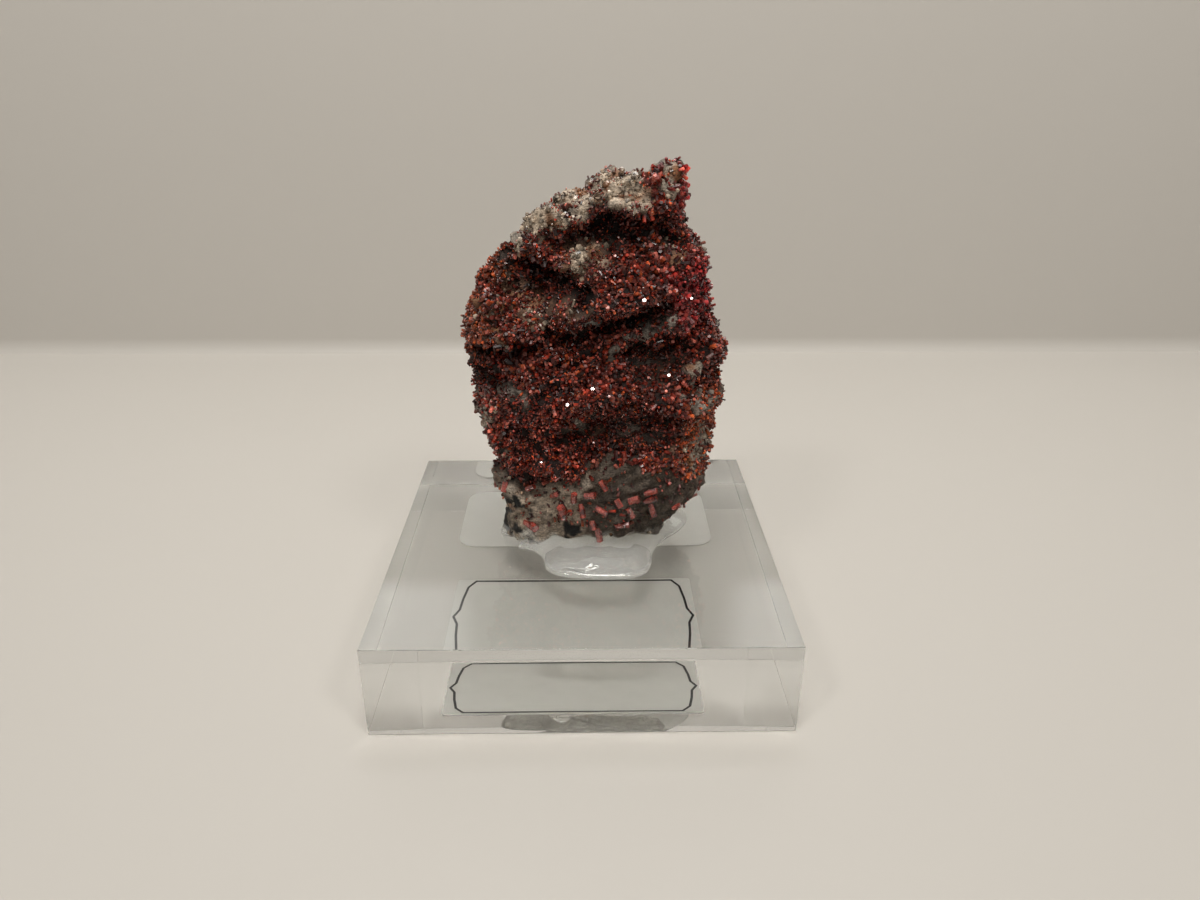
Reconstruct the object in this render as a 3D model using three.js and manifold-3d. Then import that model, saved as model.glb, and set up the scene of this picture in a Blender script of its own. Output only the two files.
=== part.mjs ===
// Vanadinite on matrix: a mineral specimen held by clear adhesive on a clear acrylic display block.
// Millimetres, +Z up. The origin is the middle of the block's underside, and the specimen faces -Y.
import * as THREE from "three";
import { mergeVertices } from "three/addons/utils/BufferGeometryUtils.js";
import Module from "manifold-3d";

const wasm = await Module();
wasm.setup();
const { clamp, degToRad, lerp, smoothstep } = THREE.MathUtils;

// Driving dimensions: the display block, a two inch square of half inch sheet, and the films under it
const BLOCK_SIDE = 50.8;
const BLOCK_HEIGHT = 12.1;
const EDGE_BREAK = 0.3;
const FILM_THICKNESS = 0.1;
const NAME_LABEL = { width: 32, depth: 17, corner: 0.4, x: -1.2, y: -11.1 };
const PLAIN_STICKER = { width: 37.7, depth: 16.8, corner: 2.6, x: 0.4, y: 14.4 };
const FILM_CLEARANCE = 0.15;

// Driving dimensions: the specimen's place on the block, and the gap that neighbours keep
const SPECIMEN_AT = new THREE.Vector3(2, 3.5, BLOCK_HEIGHT + 0.9);
const GAP = 0.3;

// The matrix's outline seen from the front, as x and z from the middle of its foot
const OUTLINE = {
  left: [
    [-11.3, 0], [-11.8, 3.6], [-13.2, 5.2], [-13.4, 9.3], [-14.0, 14.2],
    [-15.7, 18], [-15.4, 21.6], [-16.6, 24.4], [-16.5, 29], [-15.6, 33.2],
  ],
  right: [
    [8.3, -0.2], [10.2, 2.2], [13.2, 5.6], [15, 8.6], [15.8, 13], [16.6, 19.4], [16.5, 21.3], [14.5, 23.6],
    [15.5, 26.8], [15.2, 28.4], [13.8, 30.2], [14.4, 32.6],
    [12.7, 37.4], [10.8, 41.2], [10.6, 45], [10, 48.6],
  ],
  top: [
    [-15.6, 33.2], [-12.8, 36.3], [-9.1, 39.8], [-7.2, 43.2], [-2.2, 45.5],
    [1.9, 47.7], [4.6, 46.9], [7.4, 47.9], [10, 48.6],
  ],
  bottom: [[-11.3, 0], [-8, -0.3], [-5.6, 0.8], [-3.8, 0.2], [0.5, -0.2], [4.2, 0], [8.3, -0.2]],
};

// How far the slab reaches from its middle plane to the front and to the back, at the foot, belly and crown
const FRONT_REACH = { foot: 8.2, belly: 9, crown: 4.6 };
const BACK_REACH = { foot: 4.4, belly: 8.8, crown: 5.4 };
const SIDE_ROUNDING = 2.7;
const FOOT_ROUNDING = 12;
const CROWN_ROUNDING = 4;
const SLAB_COLUMNS = 28;
const SLAB_ROWS = 27;
const FOOT_ROW = 0.008;

// Ledges across the front: each overhangs along a line from one end to the other, by its depth, and the
// recess under it runs out over the length given as run
const LEDGES = [
  { from: [-9, 40.2], to: [10, 42.4], depth: 2.8, run: 5 },
  { from: [-13.5, 35.2], to: [-1, 36.8], depth: 3, run: 5 },
  { from: [-16.5, 26.6], to: [7.5, 32.2], depth: 3.4, run: 8 },
  { from: [1.5, 27.4], to: [14.5, 31.2], depth: 2.2, run: 6 },
  { from: [-4.5, 17.6], to: [10, 18.4], depth: 2.6, run: 7 },
  { from: [-14, 10.3], to: [-4.5, 10], depth: 1.3, run: 4 },
];
const LEDGE_LIP = 0.7;
const LEDGE_FADE = 2.5;

// Knobs of quartz that stand out of the upper left, by place, radius and height
const KNOBS = [
  { x: -6.2, z: 42.6, radius: 2.4, height: 1.7 },
  { x: -2.3, z: 43.9, radius: 2.2, height: 1.5 },
  { x: 1.9, z: 46.2, radius: 2.2, height: 1.8 },
  { x: -11.6, z: 36.6, radius: 2, height: 1.2 },
  { x: -13.6, z: 30.5, radius: 3, height: 1.3 },
  { x: -4.2, z: 38.3, radius: 2.6, height: 1 },
];

// Roughness of the broken rock, as noise of a few sizes: the wavelength and how far it moves the surface
const ROUGHNESS = [{ wave: 7, reach: 1.1 }, { wave: 3.1, reach: 0.7 }, { wave: 1.3, reach: 0.4 }];
const BACK_NOISE_AT = 25.8;

// Crusts of small intergrown crystals, as shares of the front sheet's width and height
const CRUSTS = {
  crust_crest: { u: [0.62, 0.99], v: [0.81, 0.985], seed: 11 },
  crust_upper: { u: [0.47, 0.985], v: [0.63, 0.755], seed: 23 },
  crust_shoulder: { u: [0.015, 0.4], v: [0.63, 0.8], seed: 37 },
  crust_middle: { u: [0.02, 0.6], v: [0.4, 0.57], seed: 41 },
  crust_right: { u: [0.64, 0.985], v: [0.385, 0.555], seed: 53 },
  crust_lower: { u: [0.02, 0.6], v: [0.275, 0.35], seed: 67 },
  crust_flank: { u: [0.67, 0.985], v: [0.26, 0.36], seed: 79 },
};
const CRUST_CELL = 2.8;
const CRUST_THICKNESS = 1;
const CRUST_ROOT = 1.2;
const CRUST_RAGGED = 0.6;
const CRUST_PRISMS = 6;
const PRISM = { length: 2.6, radius: 0.62, lean: 0.8 };

// Crystals that stand alone on the bare foot: x, z, turn from level in degrees, length and width
const LONE_CRYSTALS = [
  [6.7, 9.2, 25, 1.7, 0.85],
  [6.7, 7.7, 40, 1.8, 0.85],
  [7.3, 5.7, -65, 1.8, 0.85],
  [4.0, 6.2, -60, 1.7, 0.75],
  [3.1, 4.4, 15, 1.8, 0.85],
  [0.4, 6.7, -32, 1.8, 0.75],
  [-0.4, 4.4, -75, 1.3, 0.85],
  [0.3, 2.7, -82, 2.2, 1.0],
  [0.6, 10.2, -60, 1.5, 0.7],
  [4.6, 7.9, 20, 1.4, 1.0],
  [2.6, 7.6, -60, 1.2, 0.85],
  [10.2, 6.1, 35, 1.2, 0.75],
  [-4.3, 5.7, 85, 2.2, 1.15],
  [-8.6, 2.6, -15, 2.2, 1.2],
  [-1.9, 6.4, -75, 1.9, 0.75],
  [-5.4, 7.9, 30, 1.5, 0.75],
  [-8.7, 8.3, 30, 1.4, 0.75],
  [-2.9, 8.4, 80, 1.5, 0.8],
  [-1, 9, 20, 1.4, 0.9],
  [-12, 7.4, -80, 1.4, 0.9],
];
const CRYSTAL_PITCH = 0.35;

// The adhesive's puddle on the block, as a plan outline round its middle, and its height there and at its rim
const PUDDLE = {
  outline: [
    [-10.6, -2.3], [-6.3, -3.7], [-4.9, -6.4], [-4.6, -9.2], [-1.5, -10.5], [3, -10.9],
    [7, -10.7], [8.9, -8.6], [9.2, -4.8], [10.6, -1.6], [13.8, 1.9], [15.2, 5.6],
    [13.6, 9.4], [9.6, 12.2], [5.4, 11.6], [2.6, 9.4], [-1.4, 9], [-5.2, 10.6], [-9, 8], [-11.4, 2.6],
  ],
  middle: [1.6, 0.6],
  height: 2,
  rim: 0.9,
};
const PUDDLE_SIDES = 34;
const PUDDLE_RINGS = [1, 0.98, 0.92, 0.75, 0.4];

const COLOURS = {
  acrylic: { color: 0xdfe3e2, roughness: 0.05, metalness: 0, transparent: true, opacity: 0.3 },
  film: { color: 0xe9e6dd, roughness: 0.4, metalness: 0, transparent: true, opacity: 0.5 },
  adhesive: { color: 0xe6e8e4, roughness: 0.08, metalness: 0, transparent: true, opacity: 0.4 },
  matrix: { color: 0x6d655d, roughness: 0.85, metalness: 0 },
  vanadinite: { color: 0x7c2416, roughness: 0.25, metalness: 0 },
};

// Solids and noise

function toSolid(geometry) {
  const bare = geometry.clone();
  bare.deleteAttribute("normal");
  bare.deleteAttribute("uv");
  const merged = mergeVertices(bare, 1e-4);
  return new wasm.Manifold(
    new wasm.Mesh({
      numProp: 3,
      vertProperties: new Float32Array(merged.attributes.position.array),
      triVerts: new Uint32Array(merged.index.array),
    }),
  );
}

function toGeometry(solid) {
  const mesh = solid.getMesh();
  const geometry = new THREE.BufferGeometry();
  geometry.setAttribute("position", new THREE.BufferAttribute(new Float32Array(mesh.vertProperties), 3));
  geometry.setIndex(new THREE.BufferAttribute(new Uint32Array(mesh.triVerts), 1));
  geometry.computeVertexNormals();
  return geometry;
}

function largestBody(solid) {
  return solid.decompose().sort((a, b) => b.volume() - a.volume())[0];
}

// A repeatable number from 0 to 1 for a point of the integer lattice
function lattice(i, j, k) {
  let h = Math.imul(i, 374761393) ^ Math.imul(j, 668265263) ^ Math.imul(k, 2147483647 ^ 97531);
  h = Math.imul(h ^ (h >>> 13), 1274126177);
  return ((h ^ (h >>> 16)) >>> 0) / 4294967295;
}

// Smooth noise from -1 to 1 with a wavelength of 1
function noise(x, y, z) {
  const [i, j, k] = [Math.floor(x), Math.floor(y), Math.floor(z)];
  const ease = (t) => t * t * (3 - 2 * t);
  const [a, b, c] = [ease(x - i), ease(y - j), ease(z - k)];
  const along = (dj, dk) => lerp(lattice(i, j + dj, k + dk), lattice(i + 1, j + dj, k + dk), a);
  const low = lerp(along(0, 0), along(1, 0), b);
  const high = lerp(along(0, 1), along(1, 1), b);
  return 2 * lerp(low, high, c) - 1;
}

// A repeatable run of numbers from 0 to 1
function dice(seed) {
  let count = 0;
  return () => lattice(seed, (count += 1), seed * 7 + 3);
}

// The display block and the films stuck under it

function roundedRectangle({ width, depth, corner }, grow = 0) {
  const [x, y, r] = [width / 2 + grow, depth / 2 + grow, corner + grow];
  const shape = new THREE.Shape();
  shape.absarc(x - r, y - r, r, 0, Math.PI / 2);
  shape.absarc(r - x, y - r, r, Math.PI / 2, Math.PI);
  shape.absarc(r - x, r - y, r, Math.PI, 1.5 * Math.PI);
  shape.absarc(x - r, r - y, r, 1.5 * Math.PI, 2 * Math.PI);
  return shape;
}

function filmGeometry(film, grow = 0, below = 0) {
  const flat = { depth: FILM_THICKNESS + below, bevelEnabled: false, curveSegments: 3 };
  return new THREE.ExtrudeGeometry(roundedRectangle(film, grow), flat).translate(0, 0, -below);
}

function blockGeometry() {
  const inner = BLOCK_SIDE / 2 - EDGE_BREAK;
  const square = new THREE.Shape([
    new THREE.Vector2(-inner, -inner),
    new THREE.Vector2(inner, -inner),
    new THREE.Vector2(inner, inner),
    new THREE.Vector2(-inner, inner),
  ]);
  const slab = new THREE.ExtrudeGeometry(square, {
    depth: BLOCK_HEIGHT - 2 * EDGE_BREAK,
    bevelSize: EDGE_BREAK,
    bevelThickness: EDGE_BREAK,
    bevelSegments: 1,
  }).translate(0, 0, EDGE_BREAK);
  // Each film lies flush in a seat as deep as itself, so the block stands on its own underside
  const seats = [NAME_LABEL, PLAIN_STICKER].map((film) =>
    toSolid(filmGeometry(film, FILM_CLEARANCE, EDGE_BREAK).translate(film.x, film.y, 0)),
  );
  return toGeometry(seats.reduce((block, seat) => block.subtract(seat), toSolid(slab)));
}

// The matrix: a slab between a front and a back sheet that meet along its outline

function curveThrough(points) {
  const places = points.map(([x, z]) => new THREE.Vector3(x, 0, z));
  const curve = new THREE.CatmullRomCurve3(places, false, "centripetal");
  return (t) => curve.getPointAt(clamp(t, 0, 1));
}

const side = {
  left: curveThrough(OUTLINE.left),
  right: curveThrough(OUTLINE.right),
  top: curveThrough(OUTLINE.top),
  bottom: curveThrough(OUTLINE.bottom),
};

// The place in the outline at share u of its width and v of its height, blended from its four sides
function placeInOutline(u, v) {
  const place = new THREE.Vector3();
  const add = (point, weight) => place.addScaledVector(point, weight);
  add(side.bottom(u), 1 - v);
  add(side.top(u), v);
  add(side.left(v), 1 - u);
  add(side.right(v), u);
  add(side.bottom(0), -(1 - u) * (1 - v));
  add(side.bottom(1), -u * (1 - v));
  add(side.top(0), -(1 - u) * v);
  add(side.top(1), -u * v);
  return place;
}

// From 0 at the two ends of a share to 1 between them, as a superellipse
function rounding(share, power) {
  return Math.pow(Math.max(0, 1 - Math.pow(Math.abs(2 * share - 1), power)), 1 / power);
}

function recessUnder({ from, to, depth, run }, x, z) {
  const along = (x - from[0]) / (to[0] - from[0]);
  const below = lerp(from[1], to[1], along) - z;
  const fade = LEDGE_FADE / (to[0] - from[0]);
  const within = smoothstep(along, -fade, fade) * smoothstep(1 - along, -fade, fade);
  const opening = smoothstep(below, -LEDGE_LIP, LEDGE_LIP);
  const closing = 1 - smoothstep(below, LEDGE_LIP, run);
  return depth * within * opening * closing;
}

function knobAt({ x, z, radius, height }, px, pz) {
  return height * Math.exp(-((px - x) ** 2 + (pz - z) ** 2) / (radius * radius));
}

// How far the front stands out from its smooth form at x and z
function frontRelief(x, z) {
  const knobs = KNOBS.reduce((sum, knob) => sum + knobAt(knob, x, z), 0);
  const recesses = LEDGES.reduce((sum, ledge) => sum + recessUnder(ledge, x, z), 0);
  return knobs - recesses + roughness(x, 0, z);
}

function roughness(x, y, z) {
  return ROUGHNESS.reduce((sum, { wave, reach }) => sum + reach * noise(x / wave, y / wave, z / wave), 0);
}

function reachAt({ foot, belly, crown }, v) {
  return lerp(v < 0.5 ? foot : crown, belly, Math.sin(v * Math.PI));
}

function fullness(u, v) {
  return rounding(u, SIDE_ROUNDING) * rounding(v, v < 0.5 ? FOOT_ROUNDING : CROWN_ROUNDING);
}

function frontPoint(u, v) {
  const point = placeInOutline(u, v);
  point.y = -fullness(u, v) * (reachAt(FRONT_REACH, v) + frontRelief(point.x, point.z));
  return point;
}

function backPoint(u, v) {
  const point = placeInOutline(u, v);
  point.y = fullness(u, v) * (reachAt(BACK_REACH, v) + roughness(point.x, BACK_NOISE_AT, point.z));
  return point;
}

function frontNormal(u, v) {
  const step = 0.01;
  const across = frontPoint(u + step, v).sub(frontPoint(u - step, v));
  const up = frontPoint(u, v + step).sub(frontPoint(u, v - step));
  return across.cross(up).normalize();
}

// Columns crowd towards the two sides, where the slab turns round to its back
function columnShare(i) {
  return (1 - Math.cos((Math.PI * i) / SLAB_COLUMNS)) / 2;
}

// The lowest row lies close to the foot, so that the slab stands on a flat sole
function rowShare(i) {
  return i === 0 ? 0 : lerp(FOOT_ROW, 1, (i - 1) / (SLAB_ROWS - 1));
}

function slabGeometry() {
  const positions = [];
  const index = [];
  for (const sheet of [frontPoint, backPoint]) {
    for (let row = 0; row <= SLAB_ROWS; row += 1) {
      for (let column = 0; column <= SLAB_COLUMNS; column += 1) {
        positions.push(...sheet(columnShare(column), rowShare(row)).toArray());
      }
    }
  }
  const sheetSize = (SLAB_ROWS + 1) * (SLAB_COLUMNS + 1);
  for (let row = 0; row < SLAB_ROWS; row += 1) {
    for (let column = 0; column < SLAB_COLUMNS; column += 1) {
      const a = row * (SLAB_COLUMNS + 1) + column;
      const [b, c, d] = [a + 1, a + SLAB_COLUMNS + 2, a + SLAB_COLUMNS + 1];
      index.push(a, b, c, a, c, d);
      index.push(...[a, c, b, a, d, c].map((corner) => corner + sheetSize));
    }
  }
  const geometry = new THREE.BufferGeometry();
  geometry.setAttribute("position", new THREE.BufferAttribute(new Float32Array(positions), 3));
  geometry.setIndex(index);
  return mergeVertices(geometry, 1e-4);
}

function grown(geometry, distance) {
  const larger = geometry.clone();
  larger.computeVertexNormals();
  const { position, normal } = larger.attributes;
  for (let i = 0; i < position.count; i += 1) {
    position.setXYZ(
      i,
      position.getX(i) + distance * normal.getX(i),
      position.getY(i) + distance * normal.getY(i),
      position.getZ(i) + distance * normal.getZ(i),
    );
  }
  return larger;
}

const slab = slabGeometry();
const slabWithGap = toSolid(grown(slab, GAP));

// Vanadinite: six-sided prisms with flat ends

function prismGeometry(length, radius) {
  const angles = Array.from({ length: 6 }, (_, i) => (i * Math.PI) / 3);
  const corners = angles.map((a) => new THREE.Vector2(radius * Math.cos(a), radius * Math.sin(a)));
  return new THREE.ExtrudeGeometry(new THREE.Shape(corners), { depth: length, bevelEnabled: false });
}

function standingOn(geometry, foot, axis) {
  const up = new THREE.Vector3(0, 0, 1);
  const turn = new THREE.Quaternion().setFromUnitVectors(up, axis.clone().normalize());
  return geometry.applyQuaternion(turn).translate(...foot.toArray());
}

// A closed sheet over a grid of places on the front, from a root inside the matrix to a jagged outside
function sheetGeometry(columns, rows, pointAt) {
  const positions = [];
  const index = [];
  for (const outer of [true, false]) {
    for (let row = 0; row <= rows; row += 1) {
      for (let column = 0; column <= columns; column += 1) {
        positions.push(...pointAt(column, row, outer).toArray());
      }
    }
  }
  const at = (column, row, outer) => (outer ? 0 : (columns + 1) * (rows + 1)) + row * (columns + 1) + column;
  const quad = (a, b, c, d) => index.push(a, b, c, a, c, d);
  for (let row = 0; row < rows; row += 1) {
    for (let column = 0; column < columns; column += 1) {
      const [right, up] = [column + 1, row + 1];
      quad(at(column, row, true), at(right, row, true), at(right, up, true), at(column, up, true));
      quad(at(column, row, false), at(column, up, false), at(right, up, false), at(right, row, false));
    }
  }
  for (let row = 0; row < rows; row += 1) {
    const up = row + 1;
    quad(at(0, row, false), at(0, row, true), at(0, up, true), at(0, up, false));
    quad(at(columns, row, true), at(columns, row, false), at(columns, up, false), at(columns, up, true));
  }
  for (let column = 0; column < columns; column += 1) {
    const right = column + 1;
    quad(at(column, 0, false), at(right, 0, false), at(right, 0, true), at(column, 0, true));
    quad(at(column, rows, true), at(right, rows, true), at(right, rows, false), at(column, rows, false));
  }
  const sheet = new THREE.BufferGeometry();
  sheet.setAttribute("position", new THREE.BufferAttribute(new Float32Array(positions), 3));
  sheet.setIndex(index);
  return sheet;
}

// A step's share of a run of steps, moved about at random, and only inwards at the two ends
function raggedShare(step, steps, chance) {
  const ends = { 0: chance, [steps]: -chance };
  return (step + CRUST_RAGGED * (ends[step] ?? chance - 0.5)) / steps;
}

// A crust: a ragged sheet with prisms leaning out of it, parted from the matrix by the gap
function crustGeometry({ u, v, seed }) {
  const roll = dice(seed);
  const [midU, midV] = [(u[0] + u[1]) / 2, (v[0] + v[1]) / 2];
  const columns = Math.round(frontPoint(u[0], midV).distanceTo(frontPoint(u[1], midV)) / CRUST_CELL) + 2;
  const rows = Math.round(frontPoint(midU, v[0]).distanceTo(frontPoint(midU, v[1])) / CRUST_CELL) + 2;
  const places = [];
  for (let row = 0; row <= rows; row += 1) {
    for (let column = 0; column <= columns; column += 1) {
      const atRim = row === 0 || row === rows || column === 0 || column === columns;
      const pu = lerp(...u, raggedShare(column, columns, roll()));
      const pv = lerp(...v, raggedShare(row, rows, roll()));
      const height = GAP + CRUST_THICKNESS * (atRim ? 0.2 : 0.5 + 0.6 * roll());
      places.push({ point: frontPoint(pu, pv), normal: frontNormal(pu, pv), height });
    }
  }
  const sheet = sheetGeometry(columns, rows, (column, row, outer) => {
    const { point, normal, height } = places[row * (columns + 1) + column];
    return point.clone().addScaledVector(normal, outer ? height : -CRUST_ROOT);
  });
  let crust = toSolid(sheet);
  for (let count = 0; count < CRUST_PRISMS; count += 1) {
    const pu = lerp(...u, 0.15 + 0.7 * roll());
    const pv = lerp(...v, 0.2 + 0.6 * roll());
    const lean = new THREE.Vector3(roll() - 0.5, roll() - 0.5, roll() - 0.5).multiplyScalar(PRISM.lean);
    const prism = prismGeometry(PRISM.length, PRISM.radius);
    crust = crust.add(toSolid(standingOn(prism, frontPoint(pu, pv), frontNormal(pu, pv).add(lean))));
  }
  return toGeometry(largestBody(crust.subtract(slabWithGap)));
}

// A lone crystal lies on the front where a line straight back from x and z meets it
const slabMesh = new THREE.Mesh(slab);
function loneCrystalGeometry([x, z, turn, length, width]) {
  const line = new THREE.Raycaster(new THREE.Vector3(x, -BLOCK_SIDE, z), new THREE.Vector3(0, 1, 0));
  const hit = line.intersectObject(slabMesh)[0];
  const outward = hit.face.normal;
  const axis = new THREE.Vector3(Math.cos(degToRad(turn)), 0, Math.sin(degToRad(turn)));
  axis.projectOnPlane(outward).normalize().addScaledVector(outward, CRYSTAL_PITCH).normalize();
  const middle = hit.point.clone().addScaledVector(outward, GAP + width / 4);
  const foot = middle.addScaledVector(axis, -length / 2);
  const crystal = toSolid(standingOn(prismGeometry(length, width / 2), foot, axis));
  return toGeometry(largestBody(crystal.subtract(slabWithGap)));
}

// The adhesive: a puddle with a rounded rim and a low dome, parted from the matrix by the gap

function puddleGeometry() {
  const [mx, my] = PUDDLE.middle;
  const corners = PUDDLE.outline.map(([x, y]) => new THREE.Vector3(x, y, 0));
  const rim = new THREE.CatmullRomCurve3(corners, true, "centripetal");
  const rimPoints = rim.getSpacedPoints(PUDDLE_SIDES).slice(0, PUDDLE_SIDES);
  const dome = PUDDLE.height - PUDDLE.rim;
  const heightAt = (share) => PUDDLE.rim * Math.sqrt(1 - share ** 8) + dome * (1 - share ** 2);
  const positions = PUDDLE_RINGS.flatMap((share) =>
    rimPoints.flatMap((p) => [mx + share * (p.x - mx), my + share * (p.y - my), heightAt(share)]),
  );
  const top = positions.push(mx, my, heightAt(0)) / 3 - 1;
  const foot = positions.push(mx, my, 0) / 3 - 1;
  const index = [];
  for (let i = 0; i < PUDDLE_SIDES; i += 1) {
    const next = (i + 1) % PUDDLE_SIDES;
    for (let ring = 0; ring + 1 < PUDDLE_RINGS.length; ring += 1) {
      const [low, high] = [ring * PUDDLE_SIDES, (ring + 1) * PUDDLE_SIDES];
      index.push(low + i, low + next, high + next, low + i, high + next, high + i);
    }
    const last = (PUDDLE_RINGS.length - 1) * PUDDLE_SIDES;
    index.push(last + i, last + next, top, next, i, foot);
  }
  const geometry = new THREE.BufferGeometry();
  geometry.setAttribute("position", new THREE.BufferAttribute(new Float32Array(positions), 3));
  geometry.setIndex(index);
  return geometry;
}

function adhesiveGeometry() {
  const puddle = toSolid(puddleGeometry().translate(0, 0, BLOCK_HEIGHT));
  const room = toSolid(grown(slab, GAP).translate(...SPECIMEN_AT.toArray()));
  return toGeometry(largestBody(puddle.subtract(room)));
}

// Assembly

function piece(name, geometry, colour) {
  const material = new THREE.MeshStandardMaterial({ ...COLOURS[colour], flatShading: true });
  const mesh = new THREE.Mesh(geometry, material);
  mesh.name = name;
  return mesh;
}

const specimen = new THREE.Group();
specimen.position.copy(SPECIMEN_AT);
specimen.add(piece("matrix", slab, "matrix"));
for (const [name, crust] of Object.entries(CRUSTS)) {
  specimen.add(piece(`vanadinite_${name}`, crustGeometry(crust), "vanadinite"));
}
LONE_CRYSTALS.forEach((crystal, i) => {
  const name = `vanadinite_crystal_${String(i + 1).padStart(2, "0")}`;
  specimen.add(piece(name, loneCrystalGeometry(crystal), "vanadinite"));
});

const nameLabel = piece("name_label", filmGeometry(NAME_LABEL), "film");
nameLabel.position.set(NAME_LABEL.x, NAME_LABEL.y, 0);
const plainSticker = piece("plain_sticker", filmGeometry(PLAIN_STICKER), "film");
plainSticker.position.set(PLAIN_STICKER.x, PLAIN_STICKER.y, 0);

const part = new THREE.Group();
part.add(piece("acrylic_block", blockGeometry(), "acrylic"));
part.add(nameLabel, plainSticker);
part.add(piece("adhesive", adhesiveGeometry(), "adhesive"));
part.add(specimen);

export default part;
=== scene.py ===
"""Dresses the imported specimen: fine rock, a druse of crystals, clear block, glue, films, light and camera."""

import math

import bmesh
import bpy
import numpy as np
from mathutils import Matrix, Vector, kdtree, noise


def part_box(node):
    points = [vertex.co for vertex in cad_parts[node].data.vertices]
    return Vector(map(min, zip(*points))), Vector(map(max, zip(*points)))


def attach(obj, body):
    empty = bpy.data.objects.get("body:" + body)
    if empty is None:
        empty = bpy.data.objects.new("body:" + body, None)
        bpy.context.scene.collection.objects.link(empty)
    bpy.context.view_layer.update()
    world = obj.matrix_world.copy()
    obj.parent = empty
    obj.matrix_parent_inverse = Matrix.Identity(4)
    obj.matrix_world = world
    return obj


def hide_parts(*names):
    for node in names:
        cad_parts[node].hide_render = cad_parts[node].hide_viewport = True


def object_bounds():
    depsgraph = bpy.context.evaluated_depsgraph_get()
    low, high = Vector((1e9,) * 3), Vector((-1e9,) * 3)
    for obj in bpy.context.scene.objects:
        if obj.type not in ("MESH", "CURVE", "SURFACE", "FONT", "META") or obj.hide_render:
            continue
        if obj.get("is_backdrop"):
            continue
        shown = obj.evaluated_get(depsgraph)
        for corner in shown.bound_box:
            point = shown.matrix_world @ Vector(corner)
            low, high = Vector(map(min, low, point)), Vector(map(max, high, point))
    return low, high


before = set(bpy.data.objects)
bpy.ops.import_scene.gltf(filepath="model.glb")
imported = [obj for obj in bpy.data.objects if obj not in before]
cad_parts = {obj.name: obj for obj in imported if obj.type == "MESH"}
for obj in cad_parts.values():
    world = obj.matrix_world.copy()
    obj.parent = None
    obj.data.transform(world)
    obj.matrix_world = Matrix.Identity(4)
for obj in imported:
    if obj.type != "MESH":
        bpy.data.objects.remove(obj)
cad_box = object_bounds()

# Sizes are in millimetres here, and turn to metres where a mesh is made
MM = 0.001
SEED = 20

# The camera, fitted to the block's corners in the photograph, whose frame is 1200 by 900 pixels
CAMERA_AT = (0.47, -108.0, 74.0)
CAMERA_PITCH = 24.25
CAMERA_YAW = 1.015
CAMERA_ROLL = 0.17
LENS = 26.71
SENSOR = 36.0
CLIP_START = 1.0

# The stage: a table that turns up into a wall, a hair below the block so that air lies between them
TABLE_Z = -0.1
WALL_Y = 121.0
COVE_RADIUS = 6.5
COVE_FROM = 53
COVE_STEPS = 12
STAGE_HALF_WIDTH = 900.0
STAGE_FRONT = -700.0
WALL_HEIGHT = 260.0

# The rock's fine mesh: its cell size, its growth over the solid, and the room it leaves for the druse
ROCK_VOXEL = 0.28
ROCK_GROWTH = 0.1
DRUSE_ROOM = 0.6

# Waves of the rock, as wavelength and height: lumps drawn out along its layers, grain, and knobs of quartz
LAYER_TILT = 16.0
LAYER_STRETCH = 2.0
ROCK_LUMPS = ((4.2, 0.5), (2.0, 0.45))
ROCK_GRAIN = ((1.1, 0.5), (0.5, 0.3))
LUMP_MEAN = 0.25
QUARTZ_CELLS = ((2.1, 0.6), (0.95, 0.35))
QUARTZ_SINK = 0.55
CELL_ROUND = 1.6
FOOT_CALM = 0.5
FIBRE_TILT = 24.0
FIBRE_WAVES = (2.6, 0.75)
FIBRE_HEIGHT = 0.3

# Ledges of the front: the line of each lip as x and z, how deep it is undercut, and how tall the recess is
LEDGES = (
    (((-1.6, 54.8), (1.5, 55.4), (5.1, 56.0), (9.0, 55.2), (12.2, 53.8)), 2.8, 1.5),
    (((-9.4, 51.0), (-6.4, 51.2), (-3.9, 49.6), (-1.0, 48.2), (1.8, 48.0)), 3.2, 1.7),
    (((-15.0, 40.0), (-7.3, 41.2), (-4.2, 42.9), (0.5, 44.2), (5.2, 45.0), (10.2, 46.2)), 3.2, 1.4),
    (((4.6, 39.6), (8.7, 40.6), (14.2, 41.6)), 1.9, 1.6),
    (((-13.2, 36.9), (-10.0, 37.2), (-7.0, 35.4)), 1.6, 1.4),
    (((-2.1, 30.2), (0.5, 32.0), (5.4, 33.2), (11.8, 32.2)), 0.9, 1.3),
    (((-11.6, 22.6), (-8.0, 21.4), (-4.7, 23.2), (-0.5, 23.4)), 1.2, 0.9),
)

# How the ledges step in, close again, fade at their ends, vary and wander, and how their lips swell
LEDGE_STEP = 0.35
LEDGE_CLOSE = (0.6, 2.6)
LEDGE_FADE = 1.4
LEDGE_UNEVEN = 0.4
LEDGE_UNEVEN_WAVE = 3.4
LEDGE_WANDER = ((2.6, 1.1), (0.9, 0.45))
LIP_SWELL = 0.8
LIP_HEIGHT = 1.4

# Where the sides move to the outline in the photograph, as a patch and its shift along x
OUTLINE_SHIFTS = (
    ((17.5, 27.5, 5.0, 7.0, 0), -1.0),
    ((17.8, 46.6, 3.6, 2.0, 0), -0.8),
    ((14.8, 51.0, 2.6, 2.6, 0), 1.1),
    ((17.4, 37.6, 2.4, 1.8, 0), 1.2),
    ((-13.0, 49.2, 2.4, 1.6, 0), -1.4),
    ((-9.6, 53.6, 2.4, 1.8, 0), 1.0),
)

# The square corner at the foot's left, and the flat sole, whose downward faces are painted pale as painted
# light
CORNER_X = (4.0, 9.0)
CORNER_Z = (14.0, 19.0)
CORNER_PUSH = (-1.4, -0.9)
SOLE_GAP = 0.3
SOLE_FACING = (0.75, 0.95)

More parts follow.
